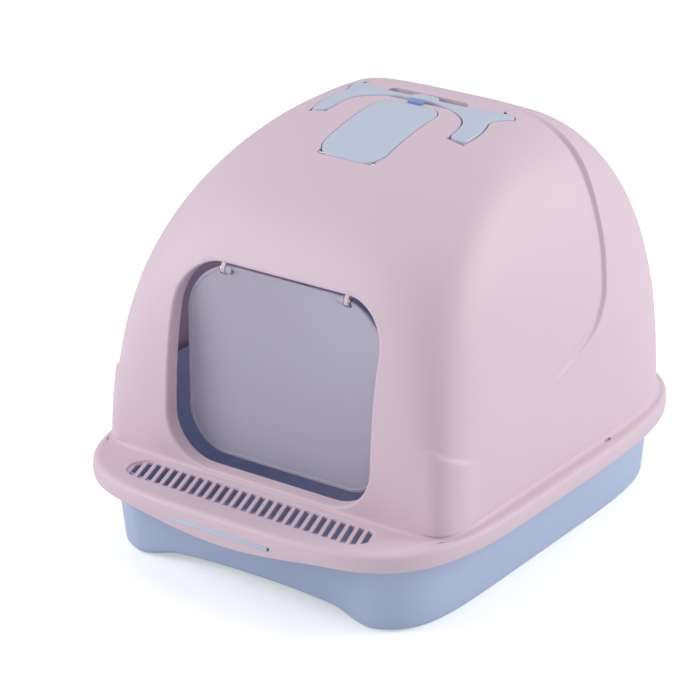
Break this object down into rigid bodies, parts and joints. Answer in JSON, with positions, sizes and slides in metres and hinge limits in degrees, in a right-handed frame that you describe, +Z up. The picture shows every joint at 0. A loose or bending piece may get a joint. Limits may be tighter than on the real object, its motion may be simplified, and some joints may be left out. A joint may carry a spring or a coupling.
{
  "type": "cat litter box with hood",
  "caption": "Deep litter tray under a domed lift-off hood with a drained step, a swing door, a bow-shaped carrying handle and a charcoal filter under a roof lid",
  "frame": {"origin": "middle of the footprint, on the floor the tray stands on", "axes": "+Z up; the doorway faces -Y; +X is to the right of someone facing the doorway"},
  "size_m": [0.4, 0.5165, 0.3812],
  "materials": {
    "tray_blue": "satin",
    "hood_pink": "satin",
    "trim_blue": "satin",
    "latch_blue": "satin",
    "frosted": "frosted",
    "steel": "brushed",
    "charcoal": "matte"
  },
  "bodies": {
    "tray_body": {"tray": "tray_blue"},
    "hood_body": {"hood": "hood_pink", "front_strip": "trim_blue", "filter_basket": "hood_pink", "filter_pad": "charcoal", "door_pin_left": "steel", "door_pin_right": "steel", "lid_pin": "steel", "handle_pin_left": "steel", "handle_pin_right": "steel"},
    "door_body": {"door_flap": "frosted"},
    "lid_body": {"filter_lid": "trim_blue"},
    "latch_body": {"filter_latch": "latch_blue"},
    "handle_body": {"carry_handle": "trim_blue"}
  },
  "joints": [
    {"name": "hood_lift", "type": "slide", "parent": "tray_body", "child": "hood_body", "axis": [0, 0, 1], "range_m": [0, 0.36]},
    {"name": "door_swing", "type": "hinge", "parent": "hood_body", "child": "door_body", "pos_m": [0, -0.15873, 0.27], "axis": [1, 0, 0], "range_deg": [-65, 65]},
    {"name": "lid_swing", "type": "hinge", "parent": "hood_body", "child": "lid_body", "pos_m": [0, -0.06815, 0.3573], "axis": [1, 0, 0], "range_deg": [0, 100]},
    {"name": "latch_slide", "type": "slide", "parent": "hood_body", "child": "latch_body", "axis": [0, 1, 0], "range_m": [0, 0.004]},
    {"name": "handle_swing", "type": "hinge", "parent": "hood_body", "child": "handle_body", "pos_m": [0, -0.0035, 0.36686], "axis": [1, 0, 0], "range_deg": [0, 75]}
  ]
}
